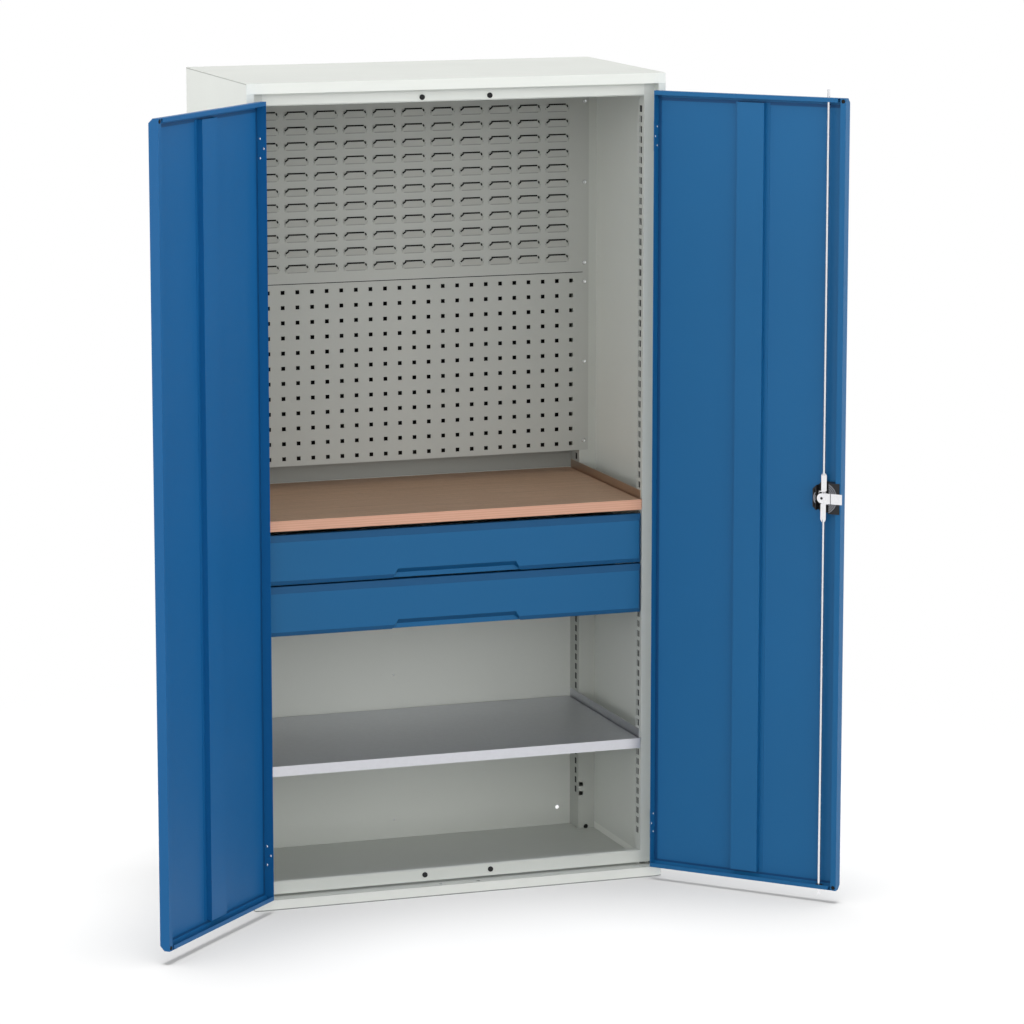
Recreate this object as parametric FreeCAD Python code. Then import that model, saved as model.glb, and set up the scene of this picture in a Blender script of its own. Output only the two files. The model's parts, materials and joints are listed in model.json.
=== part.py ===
import FreeCAD, Part
import math
import os

Vector = FreeCAD.Vector

# Whole cabinet: X runs to the right, Y to the back, Z up from the floor, in millimetres.
cabinet_width = 1050.0
cabinet_depth = 550.0
cabinet_height = 2000.0
carcass_sheet = 1.2
running_gap = 0.3
cut_overrun = 5.0

# Hood and plinth: shallow folded caps with bevelled front ends.
skirt_height = 25.0
hood_return_depth = 27.0
ledge_depth = 38.0
bevel_length = 20.0
bevel_depth = 3.5
bolt_hole_radius = 5.5
floor_height = 8.0

# Side panels, folded round the front into the door jambs.
side_front_setback = 3.0
jamb_inset = 18.0
side_back_flange = 20.0

# Slotted corner posts.
post_sheet = 1.5
post_setback = 30.0
post_inset = 45.0
post_depth = 38.0
post_return = 24.0
rear_post_setback = 67.0
slot_width = 8.0
slot_height = 16.0
slot_pitch = 25.0
slot_from_face = 21.5
lowest_slot = 110.0
top_slot_margin = 110.0
foot_hole_size = 11.0
foot_hole_heights = (102.5, 126.7)

# Rails between the front posts.
rail_gap = 7.0
bottom_rail_height = 31.0
top_rail_height = 29.0
top_rail_drop = 56.5
rail_depth = 20.0
rail_back_height = 18.0
rail_edge = 3.0
buffer_radius = 6.5
buffer_spread = 85.0
bottom_buffer_height = 48.0
top_buffer_drop = 45.0

# Back wall and the panels on the rear posts.
wall_hole_radius = 5.0
wall_hole_inset = 80.5
wall_hole_height = 54.0
panel_sheet = 1.2
panel_edge_inset = 22.0
panel_height = 457.0
panel_top_drop = 82.0
panel_fold = 12.0
panel_fold_inset = 49.0
grid_pitch = 38.0
grid_side_margin = 30.0
peg_hole = 10.0
peg_top_margin = 20.5
louvre_top_margin = 32.0
louvre_base_width = 62.0
louvre_lip_width = 46.0
louvre_height = 16.5
louvre_depth = 7.5
louvre_wall = 1.5

# Worktop and shelf on hooked bearers.
worktop_drop = 52.5
worktop_thickness = 25.5
shelf_level_share = 0.517
shelf_thickness = 25.0
shelf_sheet = 1.2
board_proud = 2.0
board_back_gap = 5.0
board_nose = 11.0
board_nose_gap = 1.5
board_side_gap = 6.0
bearer_sheet = 1.5
bearer_rise = 20.6
bearer_leg = 27.0
bearer_gap = 0.2
hook_width = 5.0
hook_height = 10.0
hook_nose = 3.0
hook_nose_drop = 3.5
hook_gap = 0.3

# Drawers.
drawer_top_gap = 11.0
drawer_gap = 4.3
drawer_front_height = 121.0
drawer_front_depth = 20.0
drawer_front_sheet = 1.2
drawer_front_return = 24.0
drawer_top_bevel = 16.0
drawer_top_bevel_depth = 7.0
drawer_bottom_bevel = 11.0
drawer_bottom_bevel_depth = 6.0
drawer_end_bevel = 7.0
grip_width = 330.0
grip_top_width = 302.0
grip_height = 24.0
grip_depth = 13.0
drawer_box_sheet = 1.0
drawer_box_side_gap = 18.0
drawer_box_height = 85.0
drawer_box_lift = 12.0
drawer_box_back = 50.0
runner_lift = 26.0
runner_height = 34.0
runner_sheet = 1.5
runner_depth = 12.5
runner_front_gap = 1.0
runner_back_inset = 13.0
slide_height = 30.0
slide_leg_height = 17.0
slide_tip_gap = 2.5
roller_radius = 7.4
roller_width = 7.0
roller_setback = 14.0
roller_gap = 0.2

# Doors.
door_gap = 3.0
door_front_setback = 2.0
door_depth = 25.0
door_sheet = 1.2
door_low_gap = 7.5
door_top_gap = 15.5
door_edge_bevel = 11.0
door_end_lip = 10.0
door_free_lip = 14.0
door_lip_notch = 7.0
stiffener_width = 70.0
stiffener_depth = 14.5
stiffener_foot = 10.0
stiffener_sheet = 1.0
stiffener_end_gap = 19.5
left_opening_angle = 134.7
right_opening_angle = 133.3

# Lift-off hinges.
leaf_sheet = 1.4
leaf_gap = 0.6
leaf_reach = 27.5
hinge_ahead = 2.5
hinge_height = 72.0
hinge_from_end = 110.0
knuckle_radius = 4.0
knuckle_gap = 0.4
pin_radius = 2.5
pin_fit = 0.05

# Three-point lock, all depths counted from the outer face of the right door.
lock_inset = 48.0
lock_height_above_middle = 4.0
crank_radius = 9.0
crank_pin_radius = 2.0
crank_play = 0.4
hub_radius = 12.0
cam_depth = 10.4
cam_thickness = 2.6
cam_width = 12.0
eye_sheet = 2.5
eye_rim = 2.4
eye_gap = 0.5
upper_eye_depth = 13.6
tongue_depth = 26.9
tongue_thickness = 3.2
tongue_height = 25.0
tongue_length = 52.0
tongue_step = 22.0
tongue_groove = 2.2
tongue_groove_depth = 1.2
rod_radius = 3.5
rod_depth = 16.4
rod_fit = 0.08
rod_flat_width = 14.0
rod_flat_length = 44.0
rod_flat_taper = 6.0
upper_rod_reach = 19.5
lower_rod_reach = 15.0
housing_height = 75.0
housing_back = 73.0
housing_front = 3.0
housing_wall_gap = 2.0
housing_base_depth = 10.0
housing_face_depth = 26.5
housing_lip_depth = 25.3
housing_channel = 32.0
housing_corner = 16.0
housing_rib = 3.0
housing_rib_pitch = 7.5
housing_rib_depth = 4.0
housing_rib_count = 3
guide_width = 15.0
guide_depth = 9.4
guide_height = 9.0
spindle_radius = 5.0
spindle_fit = 0.08
rose_width = 46.0
rose_corner = 9.0
rose_height = 5.0
handle_hub_radius = 13.0
handle_hub_length = 26.0
handle_length = 104.0
handle_width = 20.0
handle_tip_width = 15.0
handle_thickness = 11.0

# Faces and planes that follow from the sizes.
half_width = cabinet_width / 2
front_y = -cabinet_depth / 2
back_y = cabinet_depth / 2
hood_low = cabinet_height - skirt_height
hood_inside = cabinet_height - carcass_sheet
side_inside = half_width - carcass_sheet
side_front_y = front_y + side_front_setback
jamb_x = half_width - jamb_inset
post_x = half_width - post_inset
post_front_y = front_y + post_setback
rear_post_y = back_y - rear_post_setback
wall_back_y = back_y - carcass_sheet
wall_front_y = wall_back_y - carcass_sheet
rail_low = skirt_height + rail_gap
ledge_back_y = front_y + ledge_depth
panel_y = rear_post_y - panel_sheet
panel_x = half_width - panel_edge_inset
louvre_top = cabinet_height - panel_top_drop
louvre_bottom = louvre_top - panel_height
peg_top = louvre_bottom
peg_bottom = peg_top - panel_height
worktop_top = peg_bottom - worktop_drop
worktop_low = worktop_top - worktop_thickness
upper_drawer_low = worktop_low - drawer_top_gap - drawer_front_height
lower_drawer_low = upper_drawer_low - drawer_gap - drawer_front_height
shelf_top = floor_height + shelf_level_share * (lower_drawer_low - floor_height)
shelf_low = shelf_top - shelf_thickness
board_front_y = post_front_y - board_proud
door_front_y = front_y + door_front_setback
door_inside_y = door_front_y + door_depth
door_low = skirt_height + door_low_gap
door_top = hood_low - door_top_gap
free_x = door_gap / 2
leaf_fixed_x = jamb_x - leaf_sheet
leaf_door_x = leaf_fixed_x - leaf_gap
door_x = leaf_door_x - leaf_sheet
pin_x = leaf_fixed_x - leaf_gap / 2
pin_y = front_y - hinge_ahead
lock_x = free_x + lock_inset
lock_z = (door_low + door_top) / 2 + lock_height_above_middle
rod_y = door_front_y + rod_depth
lower_eye_depth = upper_eye_depth + eye_sheet + eye_gap
origin = Vector(0, 0, 0)
axes = {"x": Vector(1, 0, 0), "y": Vector(0, 1, 0), "z": Vector(0, 0, 1)}
nodes = {}


def block(x, y, z):
    size = [max(pair) - min(pair) for pair in (x, y, z)]
    return Part.makeBox(size[0], size[1], size[2], Vector(min(x), min(y), min(z)))


def place(axis, low, pair):
    first, second = pair
    spots = {"x": (low, first, second), "y": (first, low, second), "z": (first, second, low)}
    return Vector(*spots[axis])


def prism(points, axis, low, high, holes=()):
    # A straight bar of the outline along one axis, with any holes through it.
    wires = []
    for loop in [points] + list(holes):
        corners = [place(axis, low, pair) for pair in loop]
        wires.append(Part.makePolygon(corners + corners[:1]))
    face = Part.Face(wires[0])
    if len(wires) > 1:
        face = face.cut(Part.makeCompound([Part.Face(wire) for wire in wires[1:]]))
    return face.extrude(axes[axis] * (high - low))


def post_of(axis, spot, radius, low, high):
    # A round bar along one axis through the spot given in the other two.
    return Part.makeCylinder(radius, high - low, place(axis, low, spot), axes[axis])


def rectangle(first, second):
    return [(first[0], second[0]), (first[1], second[0]), (first[1], second[1]), (first[0], second[1])]


def folded(line, thickness):
    # The outline of a sheet folded along a line, its thickness to the left of the line.
    normals = []
    for start, end in zip(line, line[1:]):
        run = math.hypot(end[0] - start[0], end[1] - start[1])
        normals.append(((start[1] - end[1]) / run, (end[0] - start[0]) / run))
    inner = []
    for index, (first, second) in enumerate(line):
        before = normals[max(index - 1, 0)]
        after = normals[min(index, len(normals) - 1)]
        reach = thickness / (1 + before[0] * after[0] + before[1] * after[1])
        inner.append((first + reach * (before[0] + after[0]), second + reach * (before[1] + after[1])))
    return list(line) + inner[::-1]


def mirrored(shape):
    return shape.mirror(origin, axes["x"])


def solid_of(faces):
    shell = Part.makeShell([Part.Face(Part.makePolygon(face + face[:1])) for face in faces])
    return Part.makeSolid(shell)


def cap_outline(inset):
    # The plan of the hood and the plinth, with their bevelled front ends.
    side = half_width - inset
    back = back_y - inset
    front = front_y + inset
    return [
        (-side, back),
        (-side, front + bevel_depth),
        (-side + bevel_length, front),
        (side - bevel_length, front),
        (side, front + bevel_depth),
        (side, back),
    ]


def cap_strip(depth, low):
    # The flat strip folded in behind the front of a cap, with the two bolt holes.
    strip = prism(cap_outline(0), "z", low, low + carcass_sheet)
    strip = strip.common(block((-half_width, half_width), (front_y, front_y + depth), (low, cabinet_height)))
    for side in (-1, 1):
        bolt = post_of("z", (side * lock_x, rod_y), bolt_hole_radius, low - cut_overrun, low + cut_overrun)
        strip = strip.cut(bolt)
    return strip


def make_hood():
    outer = prism(cap_outline(0), "z", hood_low, cabinet_height)
    inner = prism(cap_outline(carcass_sheet), "z", hood_low, hood_inside)
    return outer.cut(inner).fuse(cap_strip(hood_return_depth, hood_low)).removeSplitter()


def make_plinth():
    # A low pan whose front is boxed in by the ledge and its back lip.
    outer = prism(cap_outline(0), "z", 0, skirt_height)
    inner = prism(cap_outline(carcass_sheet), "z", carcass_sheet, skirt_height)
    back_lip = block(
        (-side_inside, side_inside), (ledge_back_y - carcass_sheet, ledge_back_y), (0, skirt_height)
    )
    ledge = cap_strip(ledge_depth, skirt_height - carcass_sheet)
    return outer.cut(inner).multiFuse([back_lip, ledge]).removeSplitter()


def make_floor():
    # An upside-down tray that stands on the foot of the plinth.
    side = side_inside
    outer = block((-side, side), (ledge_back_y, wall_front_y), (carcass_sheet, floor_height))
    inner = block(
        (-side + carcass_sheet, side - carcass_sheet),
        (ledge_back_y + carcass_sheet, wall_front_y - carcass_sheet),
        (carcass_sheet, floor_height - carcass_sheet),
    )
    return outer.cut(inner)


def make_side():
    line = [
        (jamb_x, post_front_y),
        (jamb_x, side_front_y),
        (half_width, side_front_y),
        (half_width, back_y),
        (half_width - side_back_flange, back_y),
    ]
    return prism(folded(line, carcass_sheet), "z", skirt_height, hood_low)


def make_back():
    holes = []
    wall = block((-side_inside, side_inside), (wall_front_y, wall_back_y), (carcass_sheet, hood_inside))
    for side in (-1, 1):
        for height in (wall_hole_height, cabinet_height - wall_hole_height):
            spot = (side * (half_width - wall_hole_inset), height)
            holes.append(post_of("y", spot, wall_hole_radius, wall_front_y - cut_overrun, back_y))
    return wall.cut(Part.makeCompound(holes))


def slot_near(height):
    # The slot of the pitch that is nearest to a height.
    return lowest_slot + slot_pitch * round((height - lowest_slot) / slot_pitch)


def runner_middle(low):
    return low + runner_lift + runner_height / 2


def hook_heights():
    # Where the bearers and the drawer runners hook into the posts.
    boards = [(worktop_low + worktop_top) / 2, (shelf_low + shelf_top) / 2]
    return boards + [runner_middle(low) for low in (upper_drawer_low, lower_drawer_low)]


def slotted(post, face_y, levels):
    # A column of slots through the inward face of a post.
    middle = face_y + slot_from_face
    across = (middle - slot_width / 2, middle + slot_width / 2)
    inward = (post_x - cut_overrun, post_x + cut_overrun)
    slots = []
    for level in levels:
        slots.append(block(inward, across, (level - slot_height / 2, level + slot_height / 2)))
    return post.cut(Part.makeCompound(slots))


def make_front_post():
    line = [
        (post_x + post_return, post_front_y + post_depth),
        (post_x, post_front_y + post_depth),
        (post_x, post_front_y),
        (side_inside, post_front_y),
    ]
    post = prism(folded(line, post_sheet), "z", floor_height, hood_inside)
    foot = block(
        (post_x - cut_overrun, half_width), (front_y, ledge_back_y + running_gap), (0, rail_low)
    )
    count = int((cabinet_height - top_slot_margin - lowest_slot) / slot_pitch) + 1
    levels = [lowest_slot + step * slot_pitch for step in range(count)]
    return slotted(post.cut(foot), post_front_y, levels)


def make_rear_post():
    line = [
        (post_x, wall_front_y),
        (post_x, rear_post_y),
        (side_inside, rear_post_y),
        (side_inside, rear_post_y + post_return),
    ]
    post = prism(folded(line, post_sheet), "z", floor_height, hood_inside)
    near = post_x + post_sheet
    for height in foot_hole_heights:
        hole = block(
            (near, near + foot_hole_size),
            (rear_post_y - cut_overrun, rear_post_y + cut_overrun),
            (height - foot_hole_size / 2, height + foot_hole_size / 2),
        )
        post = post.cut(hole)
    return slotted(post, rear_post_y, [slot_near(height) for height in hook_heights()])


def make_bottom_rail():
    top = rail_low + bottom_rail_height
    line = [
        (post_front_y + rail_depth, top - rail_back_height),
        (post_front_y + rail_depth, top),
        (post_front_y + rail_edge, top),
        (post_front_y, top - rail_edge),
        (post_front_y, rail_low),
    ]
    return prism(folded(line, carcass_sheet), "x", -post_x, post_x)


def make_top_rail():
    low = cabinet_height - top_rail_drop
    line = [
        (post_front_y, low + top_rail_height),
        (post_front_y, low + rail_edge),
        (post_front_y + rail_edge, low),
        (post_front_y + rail_depth, low),
        (post_front_y + rail_depth, low + rail_back_height),
    ]
    return prism(folded(line, carcass_sheet), "x", -post_x, post_x)


def make_buffers():
    discs = []
    for side in (-1, 1):
        for height in (bottom_buffer_height, cabinet_height - top_buffer_drop):
            spot = (side * buffer_spread, height)
            discs.append(
                post_of("y", spot, buffer_radius, door_inside_y + running_gap, post_front_y)
            )
    return Part.makeCompound(discs)


def panel_folds(low, high):
    # The top and bottom edges of a panel, folded back between the rear posts.
    side = half_width - panel_fold_inset
    depth = (rear_post_y, rear_post_y + panel_fold)
    across = (-side, side)
    return [
        block(across, depth, (low, low + panel_sheet)),
        block(across, depth, (high - panel_sheet, high)),
    ]


def make_peg_panel():
    columns = int((panel_x - grid_side_margin) / grid_pitch)
    rows = int((panel_height - peg_top_margin - peg_hole) / grid_pitch) + 1
    holes = []
    for column in range(-columns, columns + 1):
        for row in range(rows):
            x = column * grid_pitch
            z = peg_top - peg_top_margin - row * grid_pitch
            holes.append(
                rectangle(
                    (x - peg_hole / 2, x + peg_hole / 2), (z - peg_hole / 2, z + peg_hole / 2)
                )
            )
    sheet = prism(
        rectangle((-panel_x, panel_x), (peg_bottom, peg_top)), "y", panel_y, rear_post_y, holes
    )
    return sheet.multiFuse(panel_folds(peg_bottom, peg_top)).removeSplitter()


def louvre_wedge(x, top, inset):
    # One pressed louvre as a wedge: flat at its foot, standing out at its open top edge.
    foot = louvre_base_width / 2 - inset
    lip = louvre_lip_width / 2 - inset
    low = top - louvre_height + inset
    out = panel_y - louvre_depth + inset
    a = Vector(x - foot, panel_y, low)
    b = Vector(x + foot, panel_y, low)
    c = Vector(x + foot, panel_y, top)
    d = Vector(x - foot, panel_y, top)
    e = Vector(x - lip, out, top)
    f = Vector(x + lip, out, top)
    return solid_of([[a, b, c, d], [a, e, f, b], [a, d, e], [b, f, c], [c, f, e, d]])


def make_louvre_panel():
    sheet = block((-panel_x, panel_x), (panel_y, rear_post_y), (louvre_bottom, louvre_top))
    column_pitch = 2 * grid_pitch
    columns = int((panel_x - grid_side_margin) / column_pitch)
    rows = int((panel_height - louvre_top_margin - louvre_height) / grid_pitch) + 1
    louvres = []
    for column in range(-columns, columns):
        for row in range(rows):
            x = (column + 1 / 2) * column_pitch
            top = louvre_top - louvre_top_margin - row * grid_pitch
            louvres.append(louvre_wedge(x, top, 0).cut(louvre_wedge(x, top, louvre_wall)))
    return sheet.multiFuse(louvres + panel_folds(louvre_bottom, louvre_top)).removeSplitter()


def board_outline(inset):
    # The plan of the worktop and the shelf: a wider nose runs past the front of the bearers.
    nose = post_x - board_nose_gap - inset
    side = post_x - board_side_gap - inset
    front = board_front_y + inset
    step = board_front_y + board_nose - inset
    back = wall_front_y - board_back_gap - inset
    return [
        (-nose, front),
        (nose, front),
        (nose, step),
        (side, step),
        (side, back),
        (-side, back),
        (-side, step),
        (-nose, step),
    ]


def make_shelf():
    outer = prism(board_outline(0), "z", shelf_low, shelf_top)
    return outer.cut(prism(board_outline(shelf_sheet), "z", shelf_low, shelf_top - shelf_sheet))


def hooks(height, outward):
    # Hooks through the nearest slot of the front and the rear post.
    slot_low = slot_near(height) - slot_height / 2
    tabs = []
    for face_y in (post_front_y, rear_post_y):
        middle = face_y + slot_from_face
        across = (middle - hook_width / 2, middle + hook_width / 2)
        top = slot_low + hook_nose_drop + hook_height
        behind = post_x + post_sheet + hook_gap
        tabs.append(block((outward, behind + hook_nose), across, (slot_low + hook_nose_drop, top)))
        tabs.append(block((behind, behind + hook_nose), across, (slot_low - hook_nose_drop, top)))
    return tabs


def make_bearer(board_low, board_high):
    # An angle under the end of a board, hooked into the posts.
    face = post_x - bearer_gap
    depth = (board_front_y + board_nose + bearer_gap, wall_front_y - board_back_gap)
    leg = block(
        (face - bearer_sheet, face), depth, (board_low - bearer_sheet, board_high + bearer_rise)
    )
    seat = block((face - bearer_leg, face), depth, (board_low - bearer_sheet, board_low))
    middle = (board_low + board_high) / 2
    return leg.multiFuse([seat] + hooks(middle, face)).removeSplitter()


def front_solid(low, inset):
    # The bevelled outside of a drawer front, or the hollow inside it.
    face = board_front_y + inset
    back = board_front_y + drawer_front_depth
    foot = low + inset
    top = low + drawer_front_height - inset
    side = post_x - board_nose_gap - inset
    section = [
        (back, foot),
        (face + drawer_bottom_bevel_depth, foot),
        (face, foot + drawer_bottom_bevel),
        (face, top - drawer_top_bevel),
        (face + drawer_top_bevel_depth, top),
        (back, top),
    ]
    plan = [
        (-side, back),
        (-side, face + drawer_end_bevel),
        (-side + drawer_end_bevel, face),
        (side - drawer_end_bevel, face),
        (side, face + drawer_end_bevel),
        (side, back),
    ]
    return prism(section, "x", -side, side).common(prism(plan, "z", foot, top))


def grip_pocket(low, swell):
    # The finger recess: a sloping pocket in the lower edge, wider at the bottom.
    foot = grip_width / 2 + swell
    top = grip_top_width / 2 + swell
    front = board_front_y
    back = board_front_y + grip_depth + swell
    high = low + grip_height + swell
    middle = low + grip_height / 2 + swell
    a = Vector(-foot, front, low)
    b = Vector(foot, front, low)
    c = Vector(foot, back, low)
    d = Vector(-foot, back, low)
    e = Vector(-top, front, high)
    f = Vector(top, front, high)
    g = Vector(top, back, middle)
    h = Vector(-top, back, middle)
    flat = [[a, b, c, d], [a, e, f, b], [e, h, g, f], [d, c, g, h]]
    ends = [[a, d, h], [a, h, e], [b, g, c], [b, f, g]]
    return solid_of(flat + ends)


def make_drawer_front(low):
    # A hollow folded front; its back edges return inwards to carry the drawer box.
    sheet = drawer_front_sheet
    outer = front_solid(low, 0).cut(grip_pocket(low, 0))
    inner = front_solid(low, sheet).cut(grip_pocket(low, sheet))
    back = board_front_y + drawer_front_depth
    side = post_x - board_nose_gap - drawer_front_return
    ring = block((-post_x, post_x), (back - sheet, back), (low, low + drawer_front_height))
    window = (low + drawer_front_return, low + drawer_front_height - drawer_front_return)
    ring = ring.cut(block((-side, side), (back - sheet, back), window))
    return outer.cut(inner.cut(ring))


def make_drawer_box(low):
    side = post_x - drawer_box_side_gap
    front = board_front_y + drawer_front_depth
    back = back_y - drawer_box_back
    floor = low + drawer_box_lift
    outer = block((-side, side), (front, back), (floor, floor + drawer_box_height))
    inner = block(
        (-side + drawer_box_sheet, side - drawer_box_sheet),
        (front + drawer_box_sheet, back - drawer_box_sheet),
        (floor + drawer_box_sheet, floor + drawer_box_height),
    )
    return outer.cut(inner)


def runner_span():
    front = board_front_y + drawer_front_depth + runner_front_gap
    return (front, wall_front_y - runner_back_inset)


def make_runner(low):
    # The fixed channel, open towards the drawer and hooked into the posts.
    base = low + runner_lift
    face = post_x - bearer_gap
    tip = face - runner_depth
    line = [
        (tip, base),
        (face, base),
        (face, base + runner_height),
        (tip, base + runner_height),
    ]
    front, back = runner_span()
    channel = prism(folded(line, runner_sheet), "y", front, back)
    return channel.multiFuse(hooks(runner_middle(low), face)).removeSplitter()


def make_runner_roller(low):
    # The front roller, close to the web of the fixed channel, under the leg of the slide.
    rim = post_x - bearer_gap - runner_sheet - running_gap
    leg = low + runner_lift + slide_leg_height
    spot = (runner_span()[0] + roller_setback, leg - roller_gap - roller_radius)
    return post_of("x", spot, roller_radius, rim - roller_width, rim)


def make_slide(low):
    # The sliding angle on the side of a drawer box.
    base = low + runner_lift
    side = post_x - drawer_box_side_gap
    tip = post_x - bearer_gap - runner_sheet - slide_tip_gap
    leg = base + slide_leg_height
    line = [(tip, leg), (side, leg), (side, base + slide_height)]
    back = back_y - drawer_box_back
    return prism(folded(line, -runner_sheet), "y", runner_span()[0], back)


def make_slide_roller(low):
    # The rear roller of a drawer, from the side of its box into the fixed channel.
    base = low + runner_lift
    side = post_x - drawer_box_side_gap
    back = back_y - drawer_box_back
    spot = (back - roller_setback, base + runner_sheet + roller_gap + roller_radius)
    rim = post_x - bearer_gap - runner_sheet - running_gap
    return post_of("x", spot, roller_radius, side + running_gap, rim)


def door_end_shape(inset):
    # The upright end of a door tray, seen from its edge: bevelled at the outer corners.
    face = door_front_y + inset
    low = door_low + inset
    high = door_top - inset
    return [
        (door_inside_y, low),
        (face + door_edge_bevel, low),
        (face, low + door_edge_bevel),
        (face, high - door_edge_bevel),
        (face + door_edge_bevel, high),
        (door_inside_y, high),
    ]


def make_door():
    # The right door shut, as a tray with lips at the top, the bottom and the free edge.
    ends = door_end_shape(0)
    lip_low = (door_inside_y, door_low + door_end_lip)
    lip_high = (door_inside_y, door_top - door_end_lip)
    section = folded(([lip_low] + ends + [lip_high])[::-1], door_sheet)
    tray = prism(section, "x", free_x, door_x)
    notch_to = free_x + door_free_lip + door_lip_notch
    notch_depth = (door_inside_y - door_sheet, door_inside_y)
    notches = []
    for lip in ((door_low + door_sheet, lip_low[1]), (lip_high[1], door_top - door_sheet)):
        notches.append(block((free_x, notch_to), notch_depth, lip))
    free_edge = prism(ends, "x", free_x, free_x + door_sheet)
    hinge_edge = prism(ends, "x", door_x - door_sheet, door_x)
    free_lip = block((free_x, free_x + door_free_lip), notch_depth, (door_low, door_top))
    return tray.cut(Part.makeCompound(notches)).multiFuse([free_edge, hinge_edge, free_lip])


def lock_holes():
    # Where the spindle and the two bolt rods pass through the right door.
    spindle = post_of(
        "y",
        (lock_x, lock_z),
        spindle_radius + spindle_fit,
        door_front_y - cut_overrun,
        door_front_y + door_sheet + cut_overrun,
    )
    rods = []
    for end in (door_top, door_low):
        rods.append(
            post_of("z", (lock_x, rod_y), rod_radius + rod_fit, end - cut_overrun, end + cut_overrun)
        )
    return Part.makeCompound([spindle] + rods)


def make_stiffener():
    # A hat section down the middle of a door, standing on its two feet.
    middle = (free_x + door_x) / 2
    half = stiffener_width / 2
    inside = door_front_y + door_sheet
    foot = inside + stiffener_sheet
    crown = inside + stiffener_depth
    line = [
        (middle + half + stiffener_foot, foot),
        (middle + half, foot),
        (middle + half, crown),
        (middle - half, crown),
        (middle - half, foot),
        (middle - half - stiffener_foot, foot),
    ]
    low = door_low + stiffener_end_gap
    high = door_top - stiffener_end_gap
    return prism(folded(line, stiffener_sheet), "z", low, high)


def hinge_levels():
    return (door_low + hinge_from_end, door_top - hinge_from_end)


def make_leaf(level, plate, side):
    # Half a hinge: its own knuckle lies on one side of the middle and clears the other one.
    half = hinge_height / 2
    split = level + side * knuckle_gap / 2
    leaf = block(plate, (pin_y, pin_y + leaf_reach), (level - half, level + half))
    clear = (pin_y, pin_y + knuckle_radius + knuckle_gap)
    leaf = leaf.cut(block(plate, clear, (level - side * half, split)))
    span = sorted((split, level + side * half))
    return leaf.fuse(post_of("z", (pin_x, pin_y), knuckle_radius, span[0], span[1])).removeSplitter()


def make_fixed_leaves():
    # The leaves on the jambs, whose solid lower knuckles carry the pins.
    return [make_leaf(level, (leaf_fixed_x, jamb_x), -1) for level in hinge_levels()]


def make_door_leaves():
    leaves = []
    for level in hinge_levels():
        top = level + hinge_height / 2
        bore = post_of("z", (pin_x, pin_y), pin_radius + pin_fit, level, top)
        leaves.append(make_leaf(level, (door_x, leaf_door_x), 1).cut(bore))
    return Part.makeCompound(leaves)


def make_pins():
    pins = []
    for level in hinge_levels():
        foot = level - knuckle_gap / 2
        pins.append(post_of("z", (pin_x, pin_y), pin_radius, foot, level + hinge_height / 2))
    return pins


def depth_y(depth):
    return door_front_y + depth


def make_housing():
    # The lock case: a back plate, a raised block each side of the rods and ribs across the corners.
    back = free_x + housing_back
    front = free_x + housing_front
    lip_end = free_x + door_free_lip + housing_wall_gap
    low = lock_z - housing_height / 2
    high = lock_z + housing_height / 2
    plate = [
        (lip_end, low),
        (back - housing_corner, low),
        (back, low + housing_corner),
        (back, high - housing_corner),
        (back - housing_corner, high),
        (lip_end, high),
    ]
    body = prism(plate, "y", depth_y(door_sheet), depth_y(housing_face_depth))
    channel = block(
        (lock_x - housing_channel / 2, lock_x + housing_channel / 2),
        (depth_y(housing_base_depth), depth_y(housing_face_depth)),
        (low - cut_overrun, high + cut_overrun),
    )
    wing = block(
        (front, lip_end), (depth_y(housing_lip_depth), depth_y(housing_face_depth)), (low, high)
    )
    grooves = []
    for step in range(housing_rib_count):
        reach = housing_rib + step * housing_rib_pitch
        for edge, side in ((back, -1), (lip_end, 1)):
            x = (edge + side * reach, edge + side * (reach + housing_rib))
            inside = (depth_y(housing_face_depth - housing_rib_depth), depth_y(housing_face_depth))
            cut = (low + housing_corner, high - housing_corner)
            grooves.append(block(x, inside, cut))
    hole = post_of(
        "y",
        (lock_x, lock_z),
        spindle_radius + spindle_fit,
        depth_y(0),
        depth_y(housing_face_depth),
    )
    body = body.cut(Part.makeCompound(grooves)).fuse(wing)
    return body.cut(channel).cut(hole).removeSplitter()


def make_cam():
    # The square spindle, the crank plate and the two crank pins that drive the rods.
    flat = spindle_radius / math.sqrt(2)
    square = rectangle((lock_x - flat, lock_x + flat), (lock_z - flat, lock_z + flat))
    spindle = prism(square, "y", depth_y(-rose_height - running_gap), depth_y(cam_depth))
    plate = block(
        (lock_x - cam_width / 2, lock_x + cam_width / 2),
        (depth_y(cam_depth), depth_y(cam_depth + cam_thickness)),
        (lock_z - hub_radius, lock_z + hub_radius),
    )
    pins = []
    for side in (-1, 1):
        spot = (lock_x, lock_z + side * crank_radius)
        pins.append(
            post_of("y", spot, crank_pin_radius, depth_y(cam_depth), depth_y(tongue_depth))
        )
    return spindle.multiFuse([plate] + pins).removeSplitter()


def make_tongue():
    # The tongue on the crank pins; it reaches behind the other door when shut.
    span = (depth_y(tongue_depth), depth_y(tongue_depth + tongue_thickness))
    hub = post_of("y", (lock_x, lock_z), hub_radius, span[0], span[1])
    arm = block(
        (lock_x - tongue_length, lock_x), span, (lock_z - tongue_height / 2, lock_z + tongue_height / 2)
    )
    arm = arm.cut(block((lock_x - hub_radius / 2, lock_x), span, (door_low, door_top)))
    groove = block(
        (lock_x - tongue_step - tongue_groove, lock_x - tongue_step),
        (span[1] - tongue_groove_depth, span[1]),
        (door_low, door_top),
    )
    return hub.fuse(arm).cut(groove).removeSplitter()


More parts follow.
